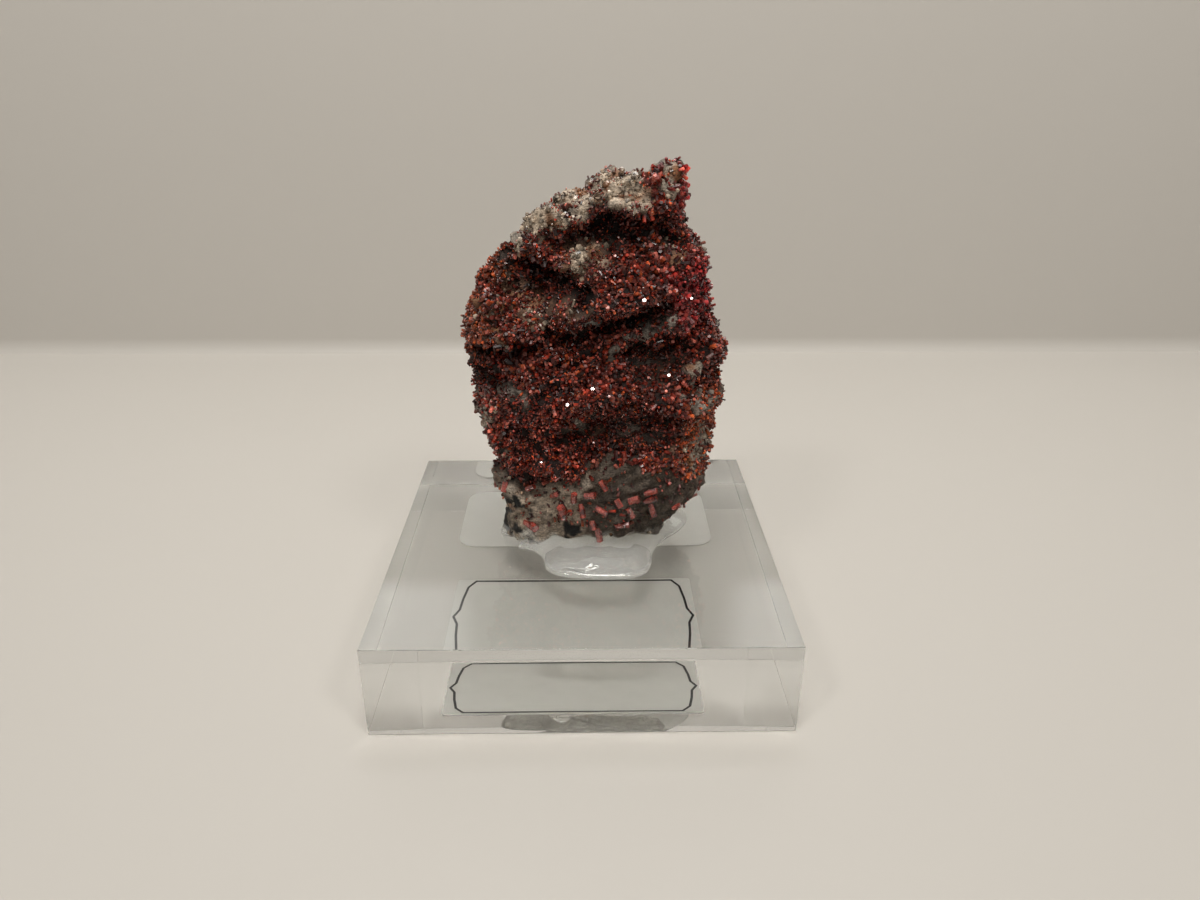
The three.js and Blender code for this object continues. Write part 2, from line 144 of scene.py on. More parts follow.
# Patches of the front, as x, z, half width, half height and tilt in degrees
QUARTZ_PATCHES = (
    (-4.6, 55.2, 3.6, 2.4, 25),
    (-0.4, 57.4, 3.2, 2.2, 25),
    (3.6, 60.0, 2.8, 2.0, 10),
    (5.6, 58.6, 2.4, 1.5, 10),
    (0.6, 51.4, 2.1, 0.8, 14),
    (-8.2, 52.4, 1.6, 1.2, 30),
)
SPARSE_PATCHES = (
    (-9.6, 45.0, 4.8, 3.8, 14),
    (-3.0, 44.6, 4.6, 1.5, 27),
    (-0.8, 51.0, 4.4, 1.7, 14),
    (8.6, 59.4, 3.2, 2.4, 0),
    (15.0, 28.0, 3.4, 5.0, -20),
    (10.6, 51.6, 1.6, 1.1, 0),
)
GREY_PATCHES = (
    (8.5, 42.3, 5.4, 1.1, 34),
    (15.2, 33.0, 3.0, 1.8, -28),
    (-0.8, 30.8, 1.2, 2.0, -40),
    (-8.6, 34.8, 1.7, 0.9, -20),
)
PALE_PATCHES = (
    (-12.6, 30.6, 1.3, 3.4, -22),
    (-10.9, 25.4, 0.7, 2.6, -8),
    (-10.2, 19.4, 1.6, 2.2, 0),
    (16.4, 25.6, 2.0, 4.0, -20),
    (13.4, 36.8, 1.0, 1.6, 0),
    (10.6, 59.6, 1.0, 2.0, 0),
)
# Arches under the ledges, where the crystals are darkened as painted shade and grow smaller and fewer
ARCH_PAINTED_SHADE_PATCHES = ((4.6, 29.6, 5.6, 2.6, -5), (-10.4, 35.2, 2.6, 1.3, -14), (10.2, 38.0, 4.2, 1.8, 8))
CRIMSON_PATCHES = ((14.2, 47.2, 3.4, 4.4, 20), (12.4, 59.6, 1.3, 4.0, 0), (9.8, 61.6, 1.8, 0.8, 15))
ORANGE_PATCHES = ((-13.8, 42.0, 2.0, 5.0, 0), (-10.8, 49.8, 2.4, 2.2, 30), (16.2, 28.5, 3.2, 6.5, 0))
BRIGHT_PATCHES = ((-6.4, 27.0, 5.8, 5.0, -10), (16.0, 29.0, 3.0, 6.0, 0), (9.6, 59.6, 3.0, 3.0, 0))
BLACK_PATCHES = ((-9.5, 16.2, 1.1, 3.0, 8), (-8.8, 18.6, 1.2, 0.6, 10), (-1.8, 15.6, 1.8, 1.2, -8))
# The chipped edge at the foot is pale rock, partly a painted highlight of the glue's meniscus
CHIPPED_AND_HIGHLIGHT_PATCHES = ((4.6, 14.0, 5.2, 0.8, 0), (-6.6, 13.8, 2.2, 0.7, 0))

PATCHES = {
    "quartz": QUARTZ_PATCHES,
    "sparse": SPARSE_PATCHES,
    "grey": GREY_PATCHES,
    "pale": PALE_PATCHES,
    "arch_painted_shade": ARCH_PAINTED_SHADE_PATCHES,
    "crimson": CRIMSON_PATCHES,
    "orange": ORANGE_PATCHES,
    "bright": BRIGHT_PATCHES,
    "black": BLACK_PATCHES,
    "chipped_and_painted_highlight": CHIPPED_AND_HIGHLIGHT_PATCHES,
}

# How ragged the patches' edges are, as wavelength and reach
PATCH_RAGGED = 2.0
PATCH_WOBBLE = 1.5

# Where the front ends and the bare back begins, by how far the rock faces forward, and how ragged that is
FRONT_EDGE = (-0.35, 0.1)
FRONT_RAGGED = 0.7
FRONT_WAVE = 3.2

# How ragged the black patches are
BLACK_RAGGED = 0.8
BLACK_WAVE = 0.9
BLACK_EDGE = (0.35, 0.6)

# The foot's turn from light to dark rock along x, the druse's soft lower edge, and the depth at which a
# recess's painted shade is full
FOOT_TURN = (-1.5, 2.5)
DRUSE_EDGE_SOFT = 0.8
RECESS_FULL = 2.4

# Stains on the pale rock of the front
STAIN_WAVE = 1.7
STAIN_EDGE = (0.0, 0.45)

# Veins of pale quartz and rusty stains on the back
VEIN_WAVE = 8.0
VEIN_EDGE = (0.02, 0.12)
RUST_WAVE = 6.0
RUST_EDGE = (0.1, 0.5)

# How much of the druse each zone leaves bare
BARE = {"quartz": 0.93, "sparse": 0.5, "grey": 0.88, "pale": 0.85, "recess": 0.5, "arch_painted_shade": 0.25}

# How glossy each zone is
GLOSS = {"black": 0.45, "chipped_and_painted_highlight": 0.5, "quartz": 0.35}

# Shifts that keep waves of noise apart
SHIFTS = {
    "across": 7.3,
    "upright": 31.7,
    "front": 3.7,
    "black": 71.0,
    "stain": 23.0,
    "vein": 41.0,
    "rust": 53.0,
    "wander": 3.1,
    "uneven": 17.0,
    "clump": 11.0,
    "grow": 83.0,
    "cloud": 61.0,
    "glue": 5.0,
}

# The lower edge of the druse across the front, as x and z
DRUSE_EDGE = (
    (-20.0, 21.0),
    (-11.6, 22.0),
    (-8.0, 21.0),
    (-4.7, 22.6),
    (-0.3, 24.2),
    (2.6, 26.2),
    (5.5, 26.6),
    (9.1, 25.4),
    (11.7, 24.4),
    (15.0, 22.6),
    (20.0, 22.0),
)

# Six-sided prisms: how they taper, how dark their roots are painted as shade, and from which slope an axis
# counts as upright
PRISM_SIDES = 6
PRISM_TAPER = 0.88
ROOT_SHADE = 0.06
UPRIGHT = 0.9

# Crystals of the druse: their count, length and width, how much they vary and lean, and how deep they root
DRUSE_COUNT = 29000
DRUSE_LENGTH = 0.32
DRUSE_LENGTHS = (0.6, 1.5)
DRUSE_WIDTH = 0.25
DRUSE_SPREAD = 0.36
DRUSE_LARGEST = 2.0
DRUSE_GROW = 0.6
DRUSE_GROW_WAVE = 6.0
DRUSE_ZONES = {"arch_painted_shade": -0.3, "crimson": 0.2, "quartz": -0.5}
DRUSE_LEAN = 1.0
DRUSE_ROOT = 0.25
DRUSE_CLUMP = 1.5
CLUMP_EDGE = (-0.35, 0.2)
CLUMP_LEAST = 0.2
STRAYS_ON_FOOT = 0.025
STRAYS_ON_BACK = 0.004
STRAYS_FROM_Z = (15.0, 17.0)

# Tints of the druse: odds and shares of its colours, spread of brightness, and each zone's change to it, which
# in the arches and recesses is painted shade
ORANGE_ODDS = (0.2, 0.3)
ORANGE_SHARE = 0.5
PINK_ODDS = 0.18
PINK_SHARE = 0.75
CRIMSON_SHARE = 0.8
TINT_SPREAD = (-0.25, 0.8)
TINT_BRIGHTEST = 3.2
TINT_AND_PAINTED_SHADE_ZONES = {"arch_painted_shade": -0.3, "recess": -0.15, "bright": 0.6}

# Larger crystals whose end faces catch the lamp, as x and z, their facing, and their range of widths
GLINTS = (
    (0.5, 41.1),
    (-1.1, 33.0),
    (-7.8, 40.8),
    (12.7, 55.1),
    (10.5, 31.1),
    (10.4, 32.2),
    (-5.6, 26.3),
    (-0.6, 54.0),
    (1.8, 53.4),
    (3.6, 51.8),
    (8.0, 47.0),
    (9.5, 47.2),
    (13.7, 47.1),
    (7.3, 44.8),
    (3.4, 46.0),
    (-11.9, 46.9),
    (10.4, 37.1),
    (3.8, 35.8),
    (0.7, 36.1),
    (-2.3, 33.6),
)
GLINT_AXIS = (0.0, -0.69, 0.724)
GLINT_LEAN = 0.09
GLINT_SEARCH = 0.8
GLINT_WIDTHS = (0.25, 0.6)

# Quartz grains: where they grow, their count, size, lean and form, and how their tint varies
QUARTZ_ZONES = {"quartz": 1.0, "sparse": 0.3, "chipped_and_painted_highlight": 0.3, "pale": 0.3}
QUARTZ_GRAINS = 900
QUARTZ_GRAIN = 0.36
QUARTZ_SPREAD = 0.45
QUARTZ_LARGEST = 2.4
QUARTZ_LEAN = 1.2
QUARTZ_ROOT = 0.5
QUARTZ_LENGTH = 0.9
QUARTZ_WIDTH = 1.1
QUARTZ_TAPER = 0.8
QUARTZ_POINT = 0.3
QUARTZ_CLOUD = 1.8
QUARTZ_CLOUD_DEPTH = 0.9
QUARTZ_TINT_SPREAD = 0.25

# Colours, in sRGB
DARK_RED = (0.33, 0.095, 0.06)
RED_BROWN = (0.55, 0.175, 0.105)
PINK = (0.74, 0.41, 0.35)
CRIMSON = (0.62, 0.14, 0.155)
ORANGE = (0.70, 0.33, 0.155)
PRISM_DARK = (0.27, 0.06, 0.05)
PRISM_LIGHT = (0.68, 0.29, 0.235)
# Painted shade in the gaps between the druse's crystals
DRUSE_GAP_PAINTED_SHADE = (0.13, 0.068, 0.052)
# Painted shade in the recesses under the ledges
PAINTED_RECESS_SHADE = (0.11, 0.072, 0.06)
QUARTZ = (0.73, 0.66, 0.58)
STAIN = (0.52, 0.36, 0.25)
SPARSE = (0.46, 0.335, 0.26)
GREY = (0.53, 0.49, 0.45)
PALE = (0.65, 0.60, 0.545)
FOOT_LEFT = (0.60, 0.54, 0.475)
FOOT_RIGHT = (0.315, 0.275, 0.238)
BACK = (0.47, 0.42, 0.37)
BACK_PALE = (0.62, 0.58, 0.53)
BACK_RUST = (0.40, 0.29, 0.21)
BLACK = (0.03, 0.028, 0.026)
# Pale chipped edge, partly a painted highlight of the glue's meniscus
CHIPPED_AND_PAINTED_HIGHLIGHT = (0.78, 0.76, 0.72)
# Pale paint on the downward-facing sole: painted light that lightens its shaded view through the block
SOLE_PAINTED_LIGHT = (0.74, 0.73, 0.70)
ACRYLIC = (0.955, 0.96, 0.958)
HOT_MELT = (0.985, 0.986, 0.978)
FILM = (0.985, 0.98, 0.96)
INK = (0.06, 0.06, 0.065)
TABLE = (0.755, 0.737, 0.71)
ROOM = (0.80, 0.785, 0.76)

# Where the noise in the lone crystals turns them from dark to light
BLOTCH_EDGES = (0.36, 0.64)

# The block's edges, the films and the border printed on the front one
BLOCK_BEVEL = 0.06
CLEAR_IOR = 1.49
FILM_LIFT = 0.03
# The plain sticker is the more opaque film: partly its own whiteness, partly painted light against the rock's
# shadow that falls on it
FILM_OPACITY = {"name_label": 0.68, "plain_sticker": 0.82}
FILM_UNEVEN = 0.03
INK_WIDTH = 0.32
INK_THICKNESS = 0.02

# A quarter of the border, from its back right corner to its right tip, in halves of the film's sides
BORDER_QUARTER = [(0.84, 0.95), (0.9, 0.78), (0.925, 0.45), (0.935, 0.18), (0.975, 0.0)]

# The glue: its depth in the block, its rim's height and roundness, its dome, and its rise at the rock
GLUE_SINK = 0.05
GLUE_RIM = 0.35
GLUE_EDGE = 0.4
GLUE_DOME = 1.3
GLUE_SPAN = 6.0
GLUE_RISE = 0.5
GLUE_FILLET = 0.9
GLUE_FALL = 1.3
GLUE_WAVE = 0.12
GLUE_WAVE_LENGTH = 3.4
GLUE_GRIP = 2.5

# The glue's mesh: its rings, which crowd at the rim, its sides and creases, and how its outline is read
GLUE_RINGS = 26
GLUE_CROWD = 1.6
GLUE_SIDES = 160
GLUE_CREASE = 60.0
GLUE_FLOOR = 0.01
GLUE_SMOOTHINGS = 4

# Round lamps, as name, place, what they face, width, power and colour
LAMPS = (
    ("ceiling", (0, -130, 500), (0, 0, 20), 180, 1.42, (1, 0.98, 0.94)),
    ("left", (-190, -250, 360), (0, 0, 35), 70, 0.3, (1, 0.98, 0.95)),
    ("right", (190, -250, 360), (0, 0, 35), 70, 0.3, (1, 0.98, 0.95)),
    ("rear", (0, 110, 430), (0, 20, 10), 160, 0.14, (0.97, 0.98, 1)),
)

# A long lamp that washes the table before the wall, given in the same way, with its depth and its spread
WASH = ("wash", (0, 92, 240), (0, 92, 0), 460, 0.03, (1, 0.985, 0.95))
WASH_DEPTH = 20
WASH_SPREAD = 70

# The room's even glow
ROOM_GLOW = 0.45

# White cards that show only as soft-edged sheens, as name, place, what they face, width, depth and glow
CARDS = (
    ("card_left", (-89, 118, 131.5), (-89, 0, 131.5), 116, 80, 1.7),
    ("card_right", (95, 118, 131.5), (95, 0, 131.5), 112, 80, 1.6),
    ("card_over", (0, 75, 260), (0, -5, 15), 170, 200, 4.5),
)
CARD_COLOUR = (1, 1, 0.97)
CARD_MIDDLE = 0.5
CARD_SOFT = 0.11

# Light's bounces, enough for the faces inside the clear block, which stay sharp
LIGHT_PATHS = {
    "max_bounces": 24,
    "diffuse_bounces": 6,
    "glossy_bounces": 12,
    "transmission_bounces": 24,
    "blur_glossy": 0.0,
}

rng = np.random.default_rng(SEED)


# Meshes and materials


def linear(colour):
    """sRGB to the renderer's linear light."""
    c = np.asarray(colour, float)
    return np.where(c <= 0.04045, c / 12.92, ((c + 0.055) / 1.055) ** 2.4)


def new_object(name, mesh, *materials):
    piece = bpy.data.objects.new(name, mesh)
    bpy.context.scene.collection.objects.link(piece)
    for material in materials:
        mesh.materials.append(material)
    return piece


def mesh_from(name, points, faces, smooth=False):
    """A mesh from points in millimetres and lists of corners."""
    mesh = bpy.data.meshes.new(name)
    mesh.from_pydata((np.asarray(points) * MM).tolist(), [], faces)
    mesh.polygons.foreach_set("use_smooth", [smooth] * len(mesh.polygons))
    mesh.update()
    return mesh


def points_of(mesh):
    points = np.empty(len(mesh.vertices) * 3)
    mesh.vertices.foreach_get("co", points)
    return points.reshape(-1, 3) / MM


def normals_of(mesh):
    normals = np.empty(len(mesh.vertices) * 3, np.float32)
    mesh.vertex_normals.foreach_get("vector", normals)
    return normals.reshape(-1, 3).astype(float)


def paint(mesh, name, colours):
    """Stores a colour and an alpha for each vertex."""
    layer = mesh.color_attributes.new(name, "FLOAT_COLOR", "POINT")
    layer.data.foreach_set("color", np.asarray(colours, np.float32).ravel())


class Shader:
    """A material's node tree with one Principled shader."""

    def __init__(self, name):
        self.material = bpy.data.materials.new(name)
        self.material.use_nodes = True
        self.tree = self.material.node_tree
        self.surface = self.tree.nodes["Principled BSDF"]

    def plug(self, node, inputs):
        """Links or sets a node's inputs, named with underscores for spaces."""
        for key, value in inputs.items():
            socket = node.inputs[key.replace("_", " ")]
            if isinstance(value, bpy.types.NodeSocket):
                self.tree.links.new(value, socket)
            else:
                socket.default_value = value

    def add(self, kind, settings=None, **inputs):
        made = self.tree.nodes.new(kind)
        for key, value in (settings or {}).items():
            setattr(made, key, value)
        self.plug(made, inputs)
        return made

    def set(self, **inputs):
        self.plug(self.surface, inputs)

    def noise(self, size, detail=4.0, stretch=(1, 1, 1)):
        """Noise with features of that size in millimetres, stretched along the object's axes."""
        place = self.add("ShaderNodeTexCoord").outputs["Object"]
        scale = [1 / (size * MM * s) for s in stretch]
        mapped = self.add("ShaderNodeMapping", Vector=place, Scale=scale).outputs["Vector"]
        return self.add("ShaderNodeTexNoise", Vector=mapped, Scale=1.0, Detail=detail).outputs["Fac"]

    def between(self, value, low, high, from_low=0.3, from_high=0.7):
        """A value of noise spread between two numbers."""
        kind = "ShaderNodeMapRange"
        made = self.add(kind, Value=value, From_Min=from_low, From_Max=from_high, To_Min=low, To_Max=high)
        return made.outputs["Result"]

    def multiply(self, colour, factor):
        """A colour made lighter or darker by a factor."""
        scaled = self.add("ShaderNodeVectorMath", {"operation": "SCALE"}, Vector=colour, Scale=factor)
        return scaled.outputs["Vector"]

    def bump(self, height, distance, strength=1.0, below=None):
        """A normal bent by a height, over another normal if one is given."""
        made = self.add("ShaderNodeBump", Height=height, Distance=distance * MM, Strength=strength)
        if below is not None:
            self.tree.links.new(below, made.inputs["Normal"])
        return made.outputs["Normal"]


def rock_material():
    s = Shader("rock")
    zone = s.add("ShaderNodeVertexColor", {"layer_name": "zone"})
    coarse = s.noise(size=1.1, detail=6)
    fine = s.noise(size=0.24, detail=6)
    fibres = s.noise(size=0.5, detail=5, stretch=(1.6, 1.0, 0.3))
    shade = s.multiply(zone.outputs["Color"], s.between(coarse, low=0.5, high=1.4))
    shade = s.multiply(shade, s.between(fine, low=0.45, high=1.5))
    shade = s.multiply(shade, s.between(fibres, low=0.75, high=1.25))
    grain = s.bump(fine, distance=0.2)
    s.set(
        Base_Color=shade,
        Roughness=s.between(zone.outputs["Alpha"], low=0.8, high=0.12, from_low=0, from_high=1),
        IOR=1.4,
        Normal=s.bump(fibres, distance=0.22, strength=0.7, below=grain),
    )
    return s.material


def druse_material():
    """Resinous, slightly clear red crystal, each of its own tint with painted shade towards its root, with
    growth lines and some dull faces.
    """
    s = Shader("vanadinite_druse")
    tint_and_painted_root_shade = s.add("ShaderNodeVertexColor", {"layer_name": "tint_and_painted_root_shade"})
    lines = s.noise(size=0.15, detail=3)
    dull = s.noise(size=0.6, detail=2)
    s.set(
        Base_Color=s.multiply(tint_and_painted_root_shade.outputs["Color"], s.between(lines, low=0.7, high=1.3)),
        Roughness=s.between(dull, low=0.16, high=0.55),
        IOR=1.55,
        Transmission_Weight=0.3,
        Normal=s.bump(lines, distance=0.03, strength=0.3),
    )
    return s.material


def lone_crystal_material():
    s = Shader("vanadinite_prism")
    blotch = s.noise(size=0.9, detail=5)
    lines = s.noise(size=0.12, detail=4)
    ramp = s.add("ShaderNodeValToRGB", Fac=blotch)
    for stop, position, colour in zip(ramp.color_ramp.elements, BLOTCH_EDGES, (PRISM_DARK, PRISM_LIGHT)):
        stop.position = position
        stop.color = (*linear(colour), 1)
    s.set(
        Base_Color=s.multiply(ramp.outputs["Color"], s.between(lines, low=0.75, high=1.25)),
        Roughness=s.between(lines, low=0.08, high=0.35),
        IOR=2.1,
        Normal=s.bump(lines, distance=0.05, strength=0.5),
    )
    return s.material


def mottled(name):
    """A shader that shows each crystal's own tint and painted root shade, a little mottled."""
    s = Shader(name)
    tint_and_painted_root_shade = s.add("ShaderNodeVertexColor", {"layer_name": "tint_and_painted_root_shade"})
    s.set(Base_Color=s.multiply(tint_and_painted_root_shade.outputs["Color"], s.between(s.noise(size=0.3), low=0.8, high=1.2)))
    return s


def glint_material():
    s = mottled("bright_face")
    s.set(Roughness=0.12, IOR=2.2)
    return s.material


def quartz_material():
    s = mottled("quartz")
    s.set(Roughness=s.between(s.noise(size=0.5), low=0.06, high=0.4), Transmission_Weight=0.35)
    return s.material


def clear_material(name, colour, clarity, wave, wave_height):
    """Clear plastic or glue, with a faint unevenness of the polish."""
    s = Shader(name)
    s.set(
        Base_Color=(*linear(colour), 1),
        Roughness=0.0,
        IOR=CLEAR_IOR,
        Transmission_Weight=clarity,
        Normal=s.bump(s.noise(size=wave, detail=2), distance=wave_height, strength=0.2),
    )
    return s.material


def film_material(name, opacity):
    s = Shader(name)
    cloud = s.noise(size=3.0, detail=3)
    s.set(
        Base_Color=(*linear(FILM), 1),
        Roughness=s.between(cloud, low=0.35, high=0.5),
        Alpha=s.between(cloud, low=opacity, high=opacity + FILM_UNEVEN),
    )
    return s.material


def ink_material():
    s = Shader("label_ink")
    speck = s.noise(size=0.2, detail=3)
    s.set(Base_Color=(*linear(INK), 1), Roughness=s.between(speck, low=0.5, high=0.75))
    return s.material


def table_material():
    s = Shader("table")
    cloud = s.noise(size=60.0, detail=3)
    s.set(Base_Color=(*linear(TABLE), 1), Roughness=s.between(cloud, low=0.55, high=0.65))
    return s.material


# Zones of the rock


def patch(x, z, patches):
    """1 inside the patches and 0 outside, with soft edges."""
    cover = np.zeros_like(x)
    for cx, cz, half_width, half_height, tilt in patches:
        c, s = math.cos(math.radians(tilt)), math.sin(math.radians(tilt))
        across = ((x - cx) * c + (z - cz) * s) / half_width
        along = ((z - cz) * c - (x - cx) * s) / half_height
        cover = np.maximum(cover, np.exp(-((across**2 + along**2) ** 2)))
    return cover


def smooth_step(value, low, high):
    t = np.clip((value - low) / (high - low), 0, 1)
    return t * t * (3 - 2 * t)


def rough(points, wave, shift=0.0):
    """Smooth noise from -1 to 1 at each point, for a wavelength in millimetres."""
    return np.array([noise.noise(Vector(p)) for p in points / wave + shift])


def zones_at(points, normals):
    """Each zone's share at each point of the rock, with ragged edges."""
    x = points[:, 0] + PATCH_WOBBLE * rough(points, PATCH_RAGGED, SHIFTS["across"])
    z = points[:, 2] + PATCH_WOBBLE * rough(points, PATCH_RAGGED, SHIFTS["upright"])
    facing = -normals[:, 1] + FRONT_RAGGED * rough(points, FRONT_WAVE, SHIFTS["front"])
    front = smooth_step(facing, *FRONT_EDGE)
    edge = np.interp(x, *np.array(DRUSE_EDGE).T)
    above = smooth_step(z, edge - DRUSE_EDGE_SOFT, edge + DRUSE_EDGE_SOFT)
    zone = {"front": front, "foot": front * (1 - above), "right": smooth_step(x, *FOOT_TURN)}
    for name, patches in PATCHES.items():
        zone[name] = patch(x, z, patches) * front
    # Painted shade in the recesses, full where they cut deepest
    zone["recess"] = front * np.clip(recess_depth(points) / RECESS_FULL, 0, 1)
    ragged = zone["black"] + BLACK_RAGGED * rough(points, BLACK_WAVE, SHIFTS["black"])
    zone["black"] = front * smooth_step(ragged, *BLACK_EDGE)
    zone["stain"] = smooth_step(rough(points, STAIN_WAVE, SHIFTS["stain"]), *STAIN_EDGE)
    # Downward faces of the sole, painted pale as painted light
    zone["sole"] = smooth_step(-normals[:, 2], *SOLE_FACING)
    zone["vein"] = 1 - smooth_step(abs(rough(points, VEIN_WAVE, SHIFTS["vein"])), *VEIN_EDGE)
    zone["rust"] = smooth_step(rough(points, RUST_WAVE, SHIFTS["rust"]), *RUST_EDGE)
    cover = front * above
    for name, bare in BARE.items():
        cover = cover * (1 - bare * zone[name])
    zone["druse"] = cover
    return zone


def blend(base, colour, share):
    return base + (linear(colour) - base) * share[:, None]


def zone_colours(zone):
    """Base colour of the rock, with painted shade under the druse and in the recesses, a pale chipped edge that
    is partly a painted highlight, a sole painted pale as painted light, and its gloss as alpha.
    """
    colours = np.tile(linear(BACK), (len(zone["front"]), 1))
    stained = (zone["quartz"] + zone["sparse"] + zone["pale"]).clip(0, 1)
    layers = (
        (BACK_PALE, zone["vein"]),
        (BACK_RUST, zone["rust"]),
        (FOOT_LEFT, zone["foot"] * (1 - zone["right"])),
        (FOOT_RIGHT, zone["foot"] * zone["right"]),
        # painted shade in the gaps between crystals
        (DRUSE_GAP_PAINTED_SHADE, zone["druse"]),
        (SPARSE, zone["sparse"]),
        (GREY, zone["grey"]),
        (PALE, zone["pale"]),
        (QUARTZ, zone["quartz"]),
        (STAIN, zone["stain"] * stained),
        # painted shade in the recesses under the ledges
        (PAINTED_RECESS_SHADE, zone["recess"]),
        # pale chipped edge, partly a painted highlight
        (CHIPPED_AND_PAINTED_HIGHLIGHT, zone["chipped_and_painted_highlight"]),
        (BLACK, zone["black"]),
        # the sole painted pale as painted light
        (SOLE_PAINTED_LIGHT, zone["sole"]),
    )
    for colour, share in layers:
        colours = blend(colours, colour, share)
    gloss = np.clip(sum(shine * zone[name] for name, shine in GLOSS.items()), 0, 1)
    return np.column_stack([colours, gloss])


# The rock


def ledge_profile(points):
    """For each ledge: the drop below its ragged lip, the share of its length there, its depth and height."""
    x = points[:, 0]
    wander = sum(reach * rough(points, wave, wave + SHIFTS["wander"]) for wave, reach in LEDGE_WANDER)
    for lip, deep, tall in LEDGES:
        ends = np.array(lip)
        below = np.interp(x, *ends.T) + wander - points[:, 2]
        within = smooth_step(x, ends[0, 0] - LEDGE_FADE, ends[0, 0] + LEDGE_FADE)
        within = within * smooth_step(-x, -ends[-1, 0] - LEDGE_FADE, LEDGE_FADE - ends[-1, 0])
        yield below, within, deep, tall


def recess_depth(points):
    """How deep the recesses under the ledges cut in."""
    uneven = 1 + LEDGE_UNEVEN * rough(points, LEDGE_UNEVEN_WAVE, SHIFTS["uneven"])
    depth = np.zeros(len(points))
    for below, within, deep, tall in ledge_profile(points):
        opening = smooth_step(below, -LEDGE_STEP, LEDGE_STEP)
        closing = 1 - smooth_step(below, *(share * tall for share in LEDGE_CLOSE))
        depth = np.maximum(depth, deep * within * opening * closing * uneven)
    return depth


def lip_swell(points):
    """How far the lips of the ledges stand out."""
    swell = np.zeros(len(points))
    for below, within, _, _ in ledge_profile(points):
        swell = np.maximum(swell, LIP_SWELL * within * np.exp(-(((below + LIP_HEIGHT) / LIP_HEIGHT) ** 2)))
    return swell


def lumps(points):
    """Rounded lumps drawn out along the rock's layers, with sharp creases between them, and its grain."""
    c, s = math.cos(math.radians(LAYER_TILT)), math.sin(math.radians(LAYER_TILT))
    along = (points[:, 0] * c + points[:, 2] * s) / LAYER_STRETCH
    layered = np.column_stack([along, points[:, 1], points[:, 2] * c - points[:, 0] * s])
    large = sum(height * (abs(rough(layered, wave, wave)) / LUMP_MEAN - 1) for wave, height in ROCK_LUMPS)
    return large + sum(height * rough(points, wave, wave) for wave, height in ROCK_GRAIN)


def cells(points, size):
    """1 at the middles of rounded cells, falling towards their edges."""
    return 1 - CELL_ROUND * np.array([noise.voronoi(Vector(p))[0][0] for p in points / size]) ** 2


def fibres(points):
    """Long low ridges across the bare rock of the foot."""
    c, s = math.cos(math.radians(FIBRE_TILT)), math.sin(math.radians(FIBRE_TILT))
    along = (points[:, 0] * c + points[:, 2] * s) / FIBRE_WAVES[0]
    across = (points[:, 2] * c - points[:, 0] * s) / FIBRE_WAVES[1]
    return FIBRE_HEIGHT * rough(np.column_stack([along, points[:, 1] / FIBRE_WAVES[0], across]), 1.0)


def remeshed(source, voxel):
    """An even fine mesh over a solid."""
    stand_in = new_object("remesh", source.data.copy())
    modifier = stand_in.modifiers.new("voxels", "REMESH")
    modifier.mode = "VOXEL"
    modifier.voxel_size = voxel * MM
    evaluated = stand_in.evaluated_get(bpy.context.evaluated_depsgraph_get())
    mesh = bpy.data.meshes.new_from_object(evaluated)
    mesh.materials.clear()
    bpy.data.objects.remove(stand_in)
    return mesh


def make_rock():
    mesh = remeshed(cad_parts["matrix"], ROCK_VOXEL)
    points, normals = points_of(mesh), normals_of(mesh)
    zone = zones_at(points, normals)
    swell = ROCK_GROWTH - DRUSE_ROOM * zone["druse"] + lumps(points) * (1 - FOOT_CALM * zone["foot"])
    knobs = sum(height * cells(points, size) for size, height in QUARTZ_CELLS) - QUARTZ_SINK
    swell += zone["quartz"] * knobs + zone["foot"] * zone["right"] * fibres(points)
    moved = points + normals * swell[:, None]
    moved[:, 1] += zone["front"] * (recess_depth(points) - lip_swell(points))
    for where, shift in OUTLINE_SHIFTS:
        moved[:, 0] += shift * patch(points[:, 0], points[:, 2], [where])
    corner = smooth_step(-points[:, 0], *CORNER_X) * (1 - smooth_step(points[:, 2], *CORNER_Z))
    moved[:, [0, 2]] += corner[:, None] * CORNER_PUSH
    moved[:, 2] = np.maximum(moved[:, 2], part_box("acrylic_block")[1].z / MM + SOLE_GAP)
    mesh.vertices.foreach_set("co", (moved * MM).ravel())
    mesh.polygons.foreach_set("use_smooth", [True] * len(mesh.polygons))
    mesh.update()
    paint(mesh, "zone", zone_colours(zone))
    rock = new_object("rock", mesh, rock_material())
    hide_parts("matrix")
    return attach(rock, "root"), zone


# Crystals


